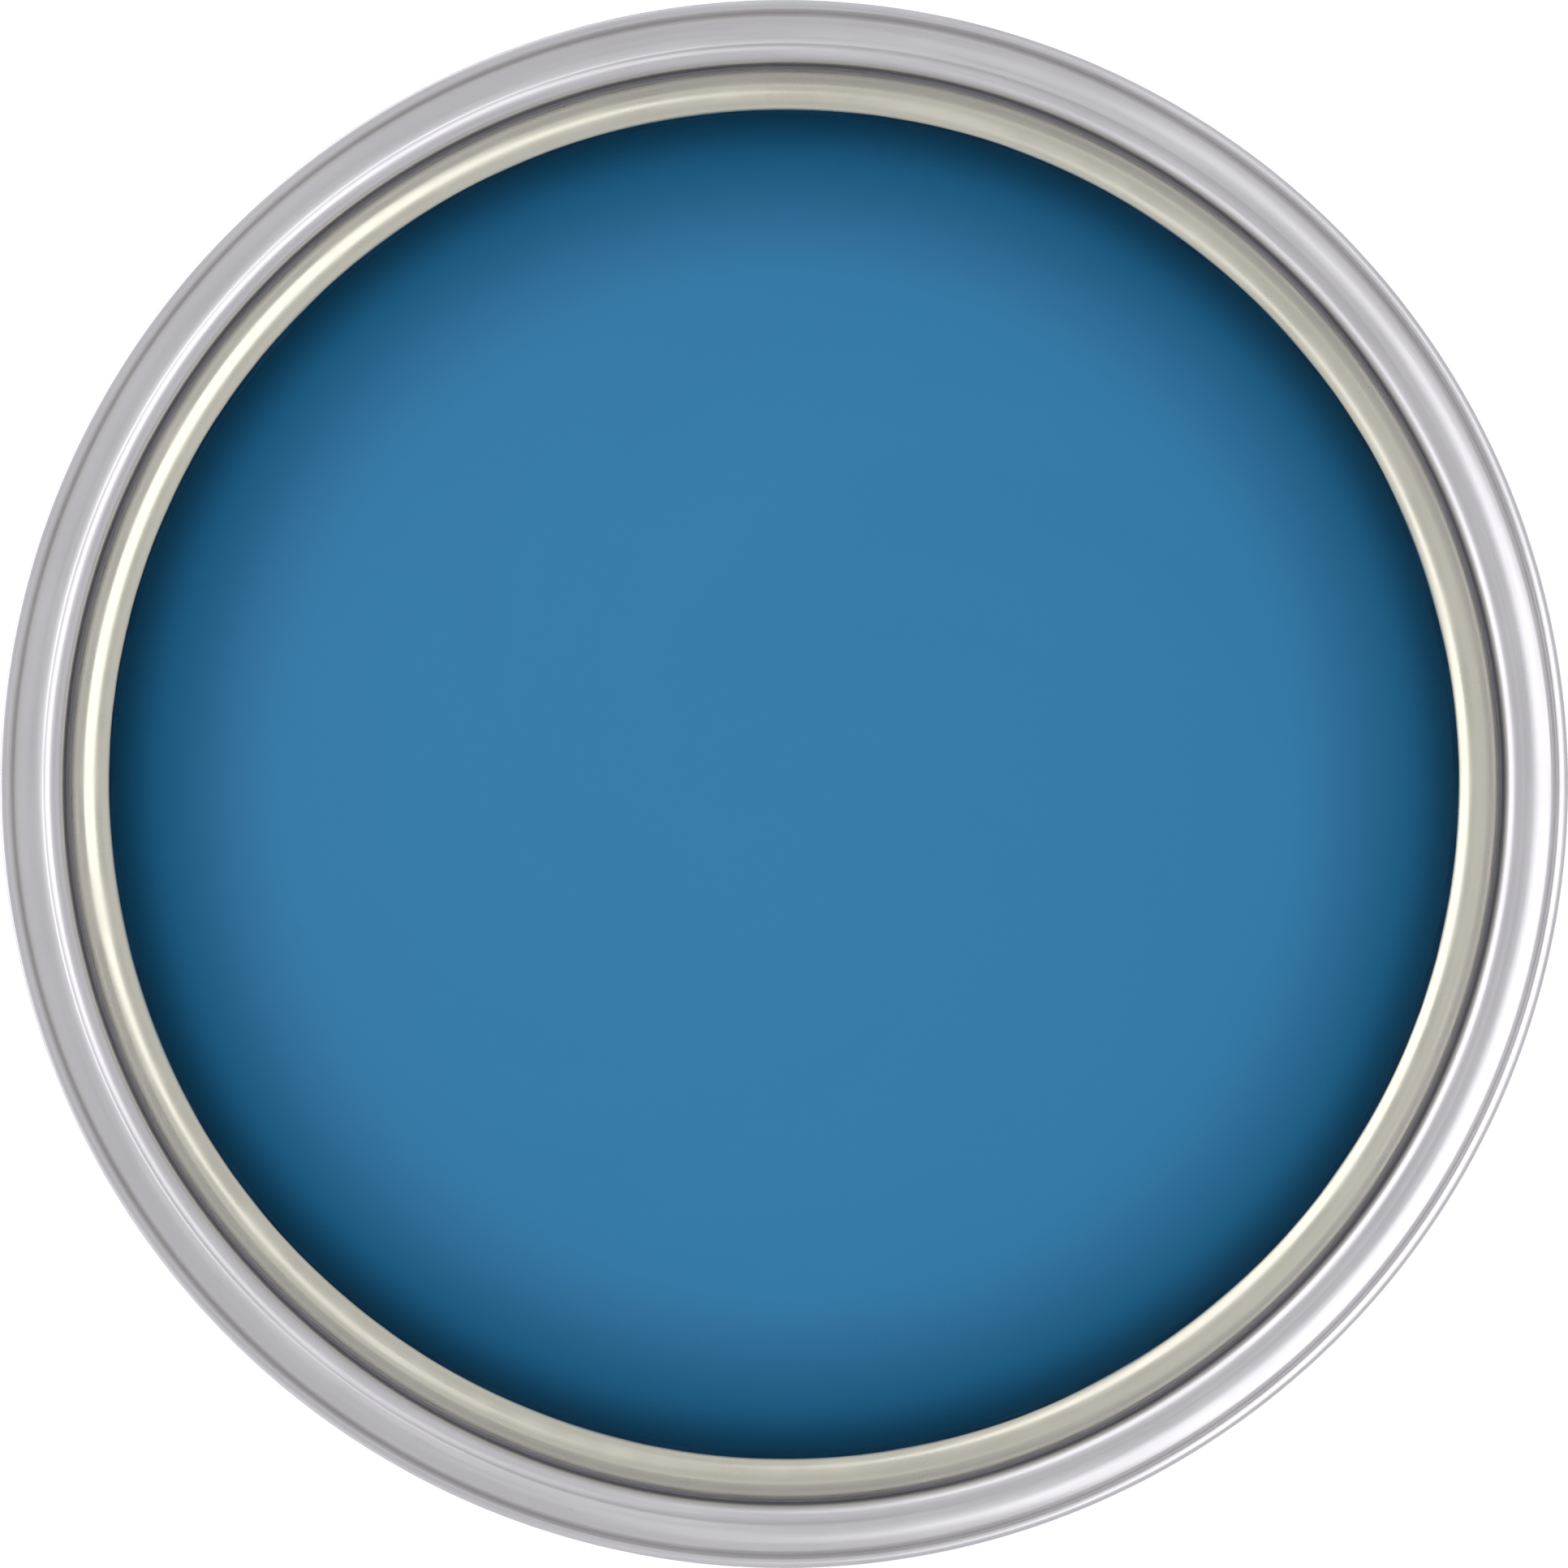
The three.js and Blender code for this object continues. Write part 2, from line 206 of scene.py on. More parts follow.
def arc(radius, height, bend, start, end, steps):
    """Points on an arc. Angles are in degrees from the outward direction towards greater height."""
    angles = [math.radians(start + (end - start) * i / steps) for i in range(steps + 1)]
    return [(radius + bend * math.cos(a), height + bend * math.sin(a)) for a in angles]


def hollow(radius, depth, bend, start, end, steps):
    """A round of the ring's profile that is open upwards, given by its lowest line."""
    return arc(radius, depth - bend, bend, start, end, steps)


def crest(radius, depth, bend, start, end, steps):
    """A round of the ring's profile that is open downwards, given by its highest line."""
    return arc(radius, depth + bend, bend, start, end, steps)


def from_rim(path):
    """A path drawn as depths below the rim, as heights."""
    return [(radius, TIN_HEIGHT - depth) for radius, depth in path]


def rounded(path, bend, steps=4):
    """A path with each corner replaced by a short curve that starts and ends at most bend from it."""
    points = [Vector(p) for p in path]
    made = [points[0]]
    for before, corner, after in zip(points, points[1:], points[2:]):
        into = before - corner
        out = after - corner
        start = corner + into.normalized() * min(bend, into.length / 2)
        end = corner + out.normalized() * min(bend, out.length / 2)
        for i in range(steps + 1):
            t = i / steps
            made.append(start.lerp(corner, t).lerp(corner.lerp(end, t), t))
    return [tuple(p) for p in [*made, points[-1]]]


def offset_path(path, offset):
    """One face of a sheet that follows a path: the path moved sideways, mitred at each corner."""
    points = [Vector(p) for p in path]
    moved = []
    for i, p in enumerate(points):
        out = points[i + 1] - p if i + 1 < len(points) else p - points[i - 1]
        into = p - points[i - 1] if i else out
        sides = [Vector((-d.y, d.x)).normalized() for d in (into, out)]
        mitre = (sides[0] + sides[1]) / (1 + sides[0].dot(sides[1]))
        moved.append(tuple(p + mitre * offset))
    return moved


def smoothstep(low, high, value):
    t = min(max((value - low) / (high - low), 0), 1)
    return t * t * (3 - 2 * t)


# ---- Meshes ----


def mesh_object(name, vertices, faces, finishes, face_finish=None, sharp=38):
    """A smooth-shaded object from vertices in millimetres, with one finish number for each face."""
    mesh = bpy.data.meshes.new(name)
    mesh.from_pydata([Vector(v) * MM for v in vertices], [], faces)
    for finish in finishes:
        mesh.materials.append(finish)
    if face_finish:
        mesh.polygons.foreach_set("material_index", face_finish)
    shape = bmesh.new()
    shape.from_mesh(mesh)
    bmesh.ops.remove_doubles(shape, verts=shape.verts, dist=1e-7)
    bmesh.ops.recalc_face_normals(shape, faces=shape.faces)
    shape.to_mesh(mesh)
    shape.free()
    mesh.shade_smooth()
    mesh.set_sharp_from_angle(angle=math.radians(sharp))
    made = bpy.data.objects.new(name, mesh)
    bpy.context.scene.collection.objects.link(made)
    return made


def grid_faces(rows, columns, close_rows=False, close_columns=False):
    """Quads between neighbouring vertices that are stored row after row."""
    faces = []
    for row in range(rows if close_rows else rows - 1):
        for column in range(columns if close_columns else columns - 1):
            next_row = (row + 1) % rows
            next_column = (column + 1) % columns
            corners = ((row, column), (next_row, column), (next_row, next_column), (row, next_column))
            faces.append([r * columns + c for r, c in corners])
    return faces


def even_angles(count):
    return [2 * math.pi * i / count for i in range(count)]


def turned(name, loop, loop_finish, finishes, angles, place=None):
    """A loop of (radius, height) points turned round the tin's axis. place may move each made point."""
    vertices = []
    for angle in angles:
        for radius, height in loop:
            if place:
                radius, height = place(radius, height, angle)
            vertices.append((radius * math.cos(angle), radius * math.sin(angle), height))
    faces = grid_faces(len(angles), len(loop), close_rows=True, close_columns=True)
    face_finish = [loop_finish[i % len(loop)] for i in range(len(faces))]
    return mesh_object(name, vertices, faces, finishes, face_finish)


def pressed(name, path, finishes, angles, sheet=SHEET, place=None):
    """A pressed sheet turned round the tin's axis, with one finish on each of its faces."""
    right = offset_path(path, -sheet / 2)
    left = offset_path(path, sheet / 2)
    loop = right + left[::-1]
    loop_finish = [0] * len(right) + [1] * len(left)
    return turned(name, loop, loop_finish, finishes, angles, place)


def piece(made, body, slot, *nodes):
    """Makes an object part of the tin: it rides on a body and stands for its CAD nodes."""
    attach(made, body)
    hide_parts(*nodes)
    return made


def round_noise(angle, scale, seed):
    """Smooth noise round a circle, about -0.5 to 0.5."""
    return noise.noise(Vector((math.cos(angle) * scale, math.sin(angle) * scale, seed)))


# ---- Finishes ----


class Finish:
    """A procedural material, with short calls for the nodes that feed its shader."""

    def __init__(self, name, **settings):
        self.material = bpy.data.materials.new(name)
        self.material.use_nodes = True
        self.tree = self.material.node_tree
        self.shader = self.tree.nodes["Principled BSDF"]
        self.set(**settings)

    def set(self, **settings):
        """Sets or feeds the shader's sockets. An underscore stands for a space in a socket's name."""
        for key, value in settings.items():
            self.feed(self.shader.inputs[key.replace("_", " ")], value)

    def feed(self, socket, value):
        if isinstance(value, bpy.types.NodeSocket):
            self.tree.links.new(value, socket)
        elif isinstance(value, tuple) and socket.type == "RGBA":
            socket.default_value = (*value, 1)
        else:
            socket.default_value = value

    def node(self, kind, inputs, output=0, **settings):
        made = self.tree.nodes.new("ShaderNode" + kind)
        for key, value in settings.items():
            setattr(made, key, value)
        for key, value in inputs.items():
            self.feed(made.inputs[key], value)
        return made.outputs[output]

    def position(self):
        return self.node("TexCoord", {}, "Object")

    def math(self, operation, a, b=0.0):
        return self.node("Math", {0: a, 1: b}, operation=operation)

    def parts(self, vector):
        split = self.tree.nodes.new("ShaderNodeSeparateXYZ")
        self.feed(split.inputs[0], vector)
        return [split.outputs[axis] for axis in "XYZ"]

    def vector(self, x, y, z):
        return self.node("CombineXYZ", {0: x, 1: y, 2: z})

    def radius(self):
        """Distance from the tin's axis, in metres."""
        x, y, _ = self.parts(self.position())
        return self.node("VectorMath", {0: self.vector(x, y, 0.0)}, "Value", operation="LENGTH")

    def noise(self, scale, detail=4, roughness=0.55, vector=None, **more):
        where = vector or self.position()
        inputs = {"Vector": where, "Scale": scale, "Detail": detail, "Roughness": roughness, **more}
        return self.node("TexNoise", inputs)

    def drawn_lines(self, across, along):
        """Lines round the tin's axis: noise that changes quickly with radius and height, slowly round it."""
        x, y, z = self.parts(self.position())
        radius = self.radius()
        east = self.math("DIVIDE", x, radius)
        north = self.math("DIVIDE", y, radius)
        vector = self.vector(
            self.math("MULTIPLY", radius, across),
            self.math("MULTIPLY", z, across),
            self.math("MULTIPLY", east, along),
        )
        inputs = {"Vector": vector, "W": self.math("MULTIPLY", north, along), "Scale": 1.0, "Detail": 3.0}
        return self.node("TexNoise", inputs, noise_dimensions="4D")

    def span(self, value, low, high, to_low, to_high):
        inputs = {0: value, 1: low, 2: high, 3: to_low, 4: to_high}
        return self.node("MapRange", inputs, interpolation_type="SMOOTHSTEP")

    def mix(self, factor, a, b):
        return self.node("Mix", {0: factor, 6: a, 7: b}, 2, data_type="RGBA")

    def bump(self, height, distance, strength=1.0, normal=None):
        inputs = {"Height": height, "Distance": distance, "Strength": strength}
        if normal:
            inputs["Normal"] = normal
        return self.node("Bump", inputs)


def tinplate(name, dark, light, across=2600, along=5):
    """Bright tinplate: drawn lines, handling marks, a coat mottled from dark to light, a dusty groove."""
    finish = Finish(name)
    mottle = finish.noise(55, detail=6)
    smudge = finish.span(finish.noise(17, detail=5, Distortion=0.6), 0.5, 0.72, 0.0, 1.0)
    lines = finish.drawn_lines(across, along)
    color = finish.mix(mottle, dark, light)
    rough = finish.span(lines, 0.25, 0.75, 0.27, 0.37)
    rough = finish.math("ADD", rough, finish.math("MULTIPLY", smudge, 0.07))
    fine = finish.bump(lines, 0.000012, 0.5)
    worn = finish.bump(finish.noise(420, detail=3), 0.000008, 0.5, fine)
    _, _, z = finish.parts(finish.position())
    deep = finish.span(z, DUST_FULL, DUST_NONE, 1.0, 0.0)
    inward = finish.math("LESS_THAN", finish.radius(), DUST_RADIUS)
    above = finish.math("GREATER_THAN", z, DUST_LOWEST)
    dust = finish.math("MULTIPLY", finish.math("MULTIPLY", deep, inward), above)
    metal = finish.span(dust, 0.0, 1.0, CLEAN_METAL, DUSTY_METAL)
    finish.set(Base_Color=color, Metallic=metal, Roughness=rough, Normal=worn)
    return finish


def cream_lacquer(name):
    """Glossy cream lacquer on the product side of the tinplate, with a film of paint on the mouth's wall,
    darkened far below the paint's colour as painted shade.
    """
    finish = Finish(name, Coat_Roughness=0.2)
    cloud = finish.noise(70, detail=6)
    speck = finish.noise(900, detail=2)
    color = finish.mix(cloud, (0.59, 0.57, 0.485), (0.67, 0.65, 0.565))
    rough = finish.span(finish.noise(140, detail=5), 0.3, 0.7, 0.26, 0.38)
    peel = finish.bump(speck, 0.00001, 0.5)
    _, _, z = finish.parts(finish.position())
    drip = finish.math("MULTIPLY", finish.noise(45, detail=5), FILM_DRIP)
    lowered = finish.math("ADD", z, drip)
    low = finish.span(lowered, FILM_TOP - FILM_EDGE, FILM_TOP + FILM_EDGE, 1.0, 0.0)
    inner = finish.math("LESS_THAN", finish.radius(), FILM_RADIUS)
    # painted shade: where paint wets the wall, its colour is made near black to stand in for the shade under
    # the curl
    shaded_film = finish.math("MULTIPLY", low, inner)
    finish.set(
        Base_Color=finish.mix(shaded_film, color, SHADED_FILM_COLOR),
        Metallic=finish.span(shaded_film, 0.0, 1.0, 0.85, 0.0),
        Coat_Weight=finish.span(shaded_film, 0.0, 1.0, 0.25, 0.0),
        Specular_IOR_Level=finish.span(shaded_film, 0.0, 1.0, 0.5, 0.08),
        Roughness=rough,
        Normal=peel,
    )
    return finish


def wet_paint():
    """Blue water-based paint: satin, with painted shade that darkens its colour near the wall, and faint
    streaks where it was stirred.
    """
    finish = Finish("wet_paint", IOR=1.42, Specular_IOR_Level=0.3)
    radius = finish.radius()
    swirl = finish.math("ADD", finish.math("MULTIPLY", radius, SWIRL), SWIRL_START)
    twist = finish.node("VectorRotate", {"Vector": finish.position(), "Angle": swirl}, rotation_type="Z_AXIS")
    streak = finish.noise(26, detail=6, vector=twist, Distortion=0.4)
    shade = finish.mix(streak, (0.0066, 0.161, 0.357), (0.0074, 0.171, 0.373))
    # painted shade: the colour is darkened towards the wall, where the ring's shadow falls on the paint
    painted_shades = [finish.span(radius, near * MM, far * MM, 1.0, part) for near, far, part in PAINTED_WALL_SHADE]
    edge = finish.math("MULTIPLY", *painted_shades)
    color = finish.node("VectorMath", {0: shade, 1: finish.vector(edge, edge, edge)}, operation="MULTIPLY")
    rough = finish.span(streak, 0.2, 0.8, 0.34, 0.42)
    level = finish.bump(streak, 0.00002, 0.25)
    finish.set(Base_Color=color, Roughness=rough, Normal=level)
    return finish


def label_paper():
    """White label paper with one printed blue band between two fine lines, and no lettering."""
    finish = Finish("label_paper", Specular_IOR_Level=0.35)
    _, _, z = finish.parts(finish.position())
    fibre = finish.noise(1500, detail=3)
    cloud = finish.noise(30, detail=5)
    sheet = finish.mix(cloud, (0.80, 0.79, 0.765), (0.86, 0.855, 0.835))
    ink = finish.mix(fibre, (0.022, 0.165, 0.345), (0.03, 0.19, 0.38))
    inside = None
    for low, high in LABEL_BANDS:
        above = finish.math("GREATER_THAN", z, low * MM)
        below = finish.math("LESS_THAN", z, high * MM)
        band = finish.math("MULTIPLY", above, below)
        inside = finish.math("ADD", inside, band) if inside else band
    color = finish.mix(inside, sheet, ink)
    rough = finish.span(inside, 0.0, 1.0, 0.68, 0.45)
    normal = finish.bump(fibre, 0.000015, 0.6)
    finish.set(Base_Color=color, Roughness=rough, Normal=normal)
    return finish


def galvanised_wire():
    """Galvanised steel wire: dull zinc in small patches of lighter and darker grey, with roughness and fine
    bumps that vary in a cloud.
    """
    finish = Finish("galvanised_wire", Metallic=1.0)
    cells = finish.node("TexVoronoi", {"Vector": finish.position(), "Scale": 700.0}, "Color")
    grey, _, _ = finish.parts(cells)
    cloud = finish.noise(220, detail=5)
    color = finish.mix(grey, (0.44, 0.45, 0.465), (0.62, 0.63, 0.64))
    rough = finish.span(cloud, 0.25, 0.75, 0.32, 0.52)
    normal = finish.bump(cloud, 0.00004, 0.4)
    finish.set(Base_Color=color, Roughness=rough, Normal=normal)
    return finish


def sealing_compound():
    """Matte grey-brown compound with a fine grain."""
    finish = Finish("sealing_compound", Specular_IOR_Level=0.3)
    grain = finish.noise(500, detail=5)
    color = finish.mix(grain, (0.13, 0.12, 0.10), (0.20, 0.19, 0.16))
    rough = finish.span(grain, 0.3, 0.7, 0.65, 0.85)
    finish.set(Base_Color=color, Roughness=rough, Normal=finish.bump(grain, 0.00005, 0.5))
    return finish


# ---- Pieces of the tin ----


def cover_edge():
    """A cover's edge as a seam holds it, in heights from the seam's flat: hook, leg, top and chuck wall."""
    middle = (COVER_LEG + COVER_HOOK) / 2
    return [
        (COVER_HOOK, HOOK_END),
        *arc(middle, SEAM_HEIGHT - SKIN - SEAM_FOLD, SEAM_FOLD, 180, 0, 8),
        *arc(COVER_LEG - SEAM_OUTER_BEND, SKIN + SEAM_OUTER_BEND, SEAM_OUTER_BEND, 0, -90, 5),
        *arc(CHUCK_WALL + SEAM_INNER_BEND, SKIN + SEAM_INNER_BEND, SEAM_INNER_BEND, -90, -180, 9),
    ]


def ring_path():
    """The middle of the ring's sheet, from the seam inwards to the raw edge of the curl."""
    steep = sine(CHANNEL_OUTER_SLOPE)
    corner_bend = (CHUCK_WALL - CHANNEL_RADIUS - CHANNEL_OUTER_BEND * steep) / (1 - steep)
    corner_depth = CHANNEL_DEPTH - (CHANNEL_OUTER_BEND - corner_bend) * (1 - cosine(CHANNEL_OUTER_SLOPE))
    side = 90 - CHANNEL_OUTER_SLOPE

    bead_bends = CHANNEL_INNER_BEND + BEAD_OUTER_BEND
    bead_radius = CHANNEL_RADIUS - bead_bends * sine(BEAD_SLOPE)
    bead_depth = CHANNEL_DEPTH - bead_bends * (1 - cosine(BEAD_SLOPE))
    groove_wall = bead_radius - BEAD_INNER_BEND

    mouth_wall = MOUTH_RADIUS + SKIN
    edge_bends = CURL_INNER_BEND - CURL_EDGE_BEND
    edge_radius = mouth_wall + CURL_EDGE_BEND
    edge_depth = CURL_DEPTH + edge_bends * (1 - cosine(CURL_EDGE_SLOPE))
    curl_radius = edge_radius + edge_bends * sine(CURL_EDGE_SLOPE)
    tail_bends = CURL_TAIL_BEND - CURL_OUTER_BEND
    tail_radius = curl_radius - tail_bends * sine(CURL_SHOULDER)
    tail_depth = CURL_DEPTH - tail_bends * (1 - cosine(CURL_SHOULDER))
    edge_slope = -90 - CURL_EDGE_SLOPE
    shoulder = CURL_SHOULDER - 90

    return from_rim([
        *cover_edge(),
        *hollow(CHUCK_WALL - corner_bend, corner_depth, corner_bend, 0, side, 6),
        *hollow(CHANNEL_RADIUS, CHANNEL_DEPTH, CHANNEL_OUTER_BEND, side, 90, 7)[1:],
        *hollow(CHANNEL_RADIUS, CHANNEL_DEPTH, CHANNEL_INNER_BEND, 90, 90 + BEAD_SLOPE, 5)[1:],
        *crest(bead_radius, bead_depth, BEAD_OUTER_BEND, BEAD_SLOPE - 90, -90, 5)[1:],
        *crest(bead_radius, bead_depth, BEAD_INNER_BEND, -90, -180, 9)[1:],
        *hollow(groove_wall - GROOVE_CORNER, GROOVE_DEPTH, GROOVE_CORNER, 0, 90, 5),
        *hollow(mouth_wall + GROOVE_CORNER, GROOVE_DEPTH, GROOVE_CORNER, 90, 180, 5),
        *crest(edge_radius, edge_depth, CURL_EDGE_BEND, -180, edge_slope, 5),
        *crest(curl_radius, CURL_DEPTH, CURL_INNER_BEND, edge_slope, -90, 8)[1:],
        *crest(curl_radius, CURL_DEPTH, CURL_OUTER_BEND, -90, shoulder, 6)[1:],
        *crest(tail_radius, tail_depth, CURL_TAIL_BEND, shoulder, CURL_TAIL_SLOPE - 90, 6)[1:],
    ])


def handled_ring(radius, height, angle):
    """Small waves that pressing, seaming and prising the lid leave in the ring."""
    channel = smoothstep(*CHANNEL_WAVE_IN, radius) * (1 - smoothstep(*CHANNEL_WAVE_OUT, radius))
    curl = 1 - smoothstep(*CURL_WAVE_OUT, radius)
    wave = round_noise(angle, 2.2, 3.1) + 0.4 * round_noise(angle, 7, 8.4)
    height += CHANNEL_WAVE * wave * channel
    height += CURL_WAVE * round_noise(angle, 1.6, 5.2) * curl
    radius += CURL_WAVE * round_noise(angle, 3.0, 1.7) * curl
    return radius, height


def lever_ring(bright, lacquer):
    return pressed("lid_ring", ring_path(), [bright, lacquer], even_angles(384), place=handled_ring)


def body_shell(bright, lacquer):
    """The side-welded wall, with its flanges turned into both seams."""
    middle = (BODY_HOOK + BODY_WALL) / 2
    flange = [
        (BODY_HOOK, BODY_HOOK_END),
        *arc(middle, BODY_HOOK_TOP + SEAM_FOLD, SEAM_FOLD, 0, -180, 6),
    ]
    rows = 22
    plain = TIN_HEIGHT - 2 * WALL_MARGIN
    wall = [(BODY_WALL, WALL_MARGIN + plain * i / rows) for i in range(rows + 1)]
    path = flange + wall + from_rim(flange)[::-1]

    def welded(radius, height, angle):
        """The side weld is a low ridge on +Y, and the wall is a little out of round."""
        held, let_go = FREE_WALL
        free = smoothstep(held, let_go, height)
        free *= 1 - smoothstep(TIN_HEIGHT - let_go, TIN_HEIGHT - held, height)
        across = abs(angle - math.pi / 2) * BODY_WALL
        ridge = WELD_HEIGHT * (1 - smoothstep(*WELD_EDGE, across))
        wave = noise.noise(Vector((math.cos(angle), math.sin(angle), height / 60)) * 1.4)
        return radius + ridge * free + OUT_OF_ROUND * wave * free, height

    near_weld = [math.pi / 2 + 0.0022 * i for i in range(-6, 7)]
    angles = sorted({*even_angles(288), *near_weld})
    return pressed("tin_body", path, [bright, lacquer], angles, place=welded)


def bottom_end(bright, lacquer):
    """The bottom: seam, chuck wall, and a panel with pressed rings that let it flex."""
    panel = [(CHUCK_WALL - BASE_CORNER, BASE_PANEL)]
    for outer, inner in BASE_RINGS:
        panel += [
            (outer, BASE_PANEL),
            (outer - BASE_STEP, BASE_PANEL - BASE_STEP),
            (inner + BASE_STEP, BASE_PANEL - BASE_STEP),
            (inner, BASE_PANEL),
        ]
    panel = rounded([*panel, (0, BASE_PANEL)], BASE_BEND)
    corner = arc(CHUCK_WALL - BASE_CORNER, BASE_PANEL - BASE_CORNER, BASE_CORNER, 0, 90, 6)
    path = cover_edge() + corner + panel[1:]
    return pressed("tin_bottom", path, [lacquer, bright], even_angles(256))


def seam_compound(name, place, compound):
    """The ring of compound between a cover's corner and the body's hook. place turns depths into heights."""
    centre_radius = CHUCK_WALL + SEAM_INNER_BEND
    centre_height = SKIN + SEAM_INNER_BEND
    bend = SEAM_INNER_BEND - SKIN - COMPOUND_GAP
    low = BODY_HOOK_TOP - SKIN - COMPOUND_GAP
    end = math.degrees(math.asin((centre_height - low) / bend)) - 180
    loop = arc(centre_radius, centre_height, bend, -90, end, 6)
    loop.append((COVER_LEG - SKIN - COMPOUND_GAP, low))
    return turned(name, place(loop), [0] * len(loop), [compound], even_angles(256))


def paint(wet):
    """The paint, with a surface that climbs a little where it wets the wall."""
    flat = PAINT_RADIUS - MENISCUS_WIDTH
    surface = [(i * SURFACE_STEP, PAINT_TOP) for i in range(math.ceil(flat / SURFACE_STEP))]
    climb = (0, 0.2, 0.4, 0.6, 0.75, 0.88, 1)
    rise = [(flat + MENISCUS_WIDTH * t, PAINT_TOP + MENISCUS * t**3) for t in climb]
    loop = [(0, PAINT_BOTTOM), (PAINT_RADIUS, PAINT_BOTTOM), *(surface + rise)[::-1]]
    return turned("paint_surface", loop, [0] * len(loop), [wet], even_angles(240))


def label(paper):
    """The wrap-round label, whose last stretch laps over its first."""
    inside = BODY_OUTSIDE + LABEL_GAP
    start = math.radians(LABEL_START)
    lap = LABEL_LAP / inside
    whole = 2 * math.pi + lap
    columns = 480
    rows = 14
    vertices = []
    for face in (LABEL_PAPER, 0):
        for row in range(rows + 1):
            height = LABEL_BOTTOM + (LABEL_TOP - LABEL_BOTTOM) * row / rows
            for column in range(columns + 1):
                along = whole * column / columns
                lifted = smoothstep(whole - lap * 1.25, whole - lap, along) * (LABEL_PAPER + LABEL_LIFT)
                curl = LABEL_CURL * smoothstep(whole - lap * 0.15, whole, along)
                angle = start + along
                ripple = LABEL_RIPPLE * noise.noise(Vector((angle * 9, height / 14, 4)))
                radius = inside + face + lifted + curl + ripple
                vertices.append((radius * math.cos(angle), radius * math.sin(angle), height))
    per_face = (rows + 1) * (columns + 1)
    front = grid_faces(rows + 1, columns + 1)
    back = [[i + per_face for i in reversed(face)] for face in front]
    top_left = rows * (columns + 1)
    rim = [*range(columns + 1)]
    rim += [(row + 1) * (columns + 1) + columns for row in range(rows)]
    rim += [top_left + column for column in range(columns - 1, -1, -1)]
    rim += [row * (columns + 1) for row in range(rows - 1, 0, -1)]
    edge = []
    for i, a in enumerate(rim):
        b = rim[(i + 1) % len(rim)]
        edge.append([a, b, b + per_face, a + per_face])
    return mesh_object("wrap_label", vertices, front + back + edge, [paper])


def ear(name, turn, bright):
    """A round pressed ear: a flange bent round the body and spot welded, with a dome that holds the bail."""
    mid = EAR_FOOT + EAR_SHEET / 2
    top = EAR_FOOT + EAR_DOME_RISE - EAR_SHEET / 2
    flange = [(EAR_FLANGE - i * (EAR_FLANGE - EAR_DOME_FOOT - 0.6) / 16, mid) for i in range(17)]
    dome = rounded([
        flange[-1],
        (EAR_DOME_FOOT, mid),
        (EAR_DOME_TOP + 0.4, top - 0.35),
        (EAR_DOME_TOP - 0.9, top),
        (EAR_HOLE + 0.3, top),
        (EAR_HOLE, top - 0.12),
    ], EAR_DOME_BEND, steps=6)
    path = flange + dome[1:]
    right = offset_path(path, -EAR_SHEET / 2)
    left = offset_path(path, EAR_SHEET / 2)
    loop = rounded([left[1], left[0], right[0], right[1]], EAR_EDGE_BEND)[1:-1]
    loop = left[::-1][:-1] + loop + right[1:]
    steps = 112
    vertices = []
    for i in range(steps):
        turn_at = 2 * math.pi * i / steps
        for out, height in loop:
            across = out * math.cos(turn_at)
            up = out * math.sin(turn_at)
            for weld in range(SPOT_WELDS):
                at = math.radians(SPOT_WELD_START + 360 / SPOT_WELDS * weld)
                away = math.hypot(
                    across - SPOT_WELD_RING * math.cos(at),
                    up - SPOT_WELD_RING * math.sin(at),
                )
                pressed_in = 1 - smoothstep(0.45 * SPOT_WELD_RADIUS, SPOT_WELD_RADIUS, away)
                height -= SPOT_WELD_DEPTH * pressed_in
            angle = turn + across / EAR_FOOT
            vertices.append((height * math.cos(angle), height * math.sin(angle), EAR_HEIGHT + up))
    faces = grid_faces(steps, len(loop), close_rows=True, close_columns=True)
    return mesh_object(name, vertices, faces, [bright])


def bail_half():
    """Half of the bail, drawn flat as (distance from the middle, distance from the pivots, radius)."""
    plate = EAR_FOOT + EAR_DOME_RISE
    arm = plate + WIRE_BEND
    head = plate - EAR_SHEET - HEAD_PLAY
    end = head - HEAD_THICKNESS
    points = [(end, 0, 0)]
    points += [(end + step, 0, HEAD_RADIUS - lower) for step, lower in HEAD_EDGE]
    points += [(head - step, 0, HEAD_RADIUS - lower) for step, lower in HEAD_EDGE[-2::-1]]
    points += [(head + step, 0, radius) for step, radius in HEAD_NECK]
    points.append((head + 0.7, 0, WIRE_RADIUS))
    points += [(x, y, WIRE_RADIUS) for x, y in arc(plate, WIRE_BEND, WIRE_BEND, -90, 0, 12)]
    arm_steps = 24
    for i in range(arm_steps + 1):
        along = BAIL_STRAIGHT + (BAIL_TAPER_END - BAIL_STRAIGHT) * i / arm_steps
        closed = smoothstep(BAIL_STRAIGHT, BAIL_TAPER_END, along)
        points.append((arm + (BAIL_WIDTH - arm) * closed, along, WIRE_RADIUS))
    rise = BAIL_REACH - BAIL_TAPER_END
    loop = arc(0, 0, 1, 0, 90, 70)[1:]
    return points + [(BAIL_WIDTH * x, BAIL_TAPER_END + rise * y, WIRE_RADIUS) for x, y in loop]


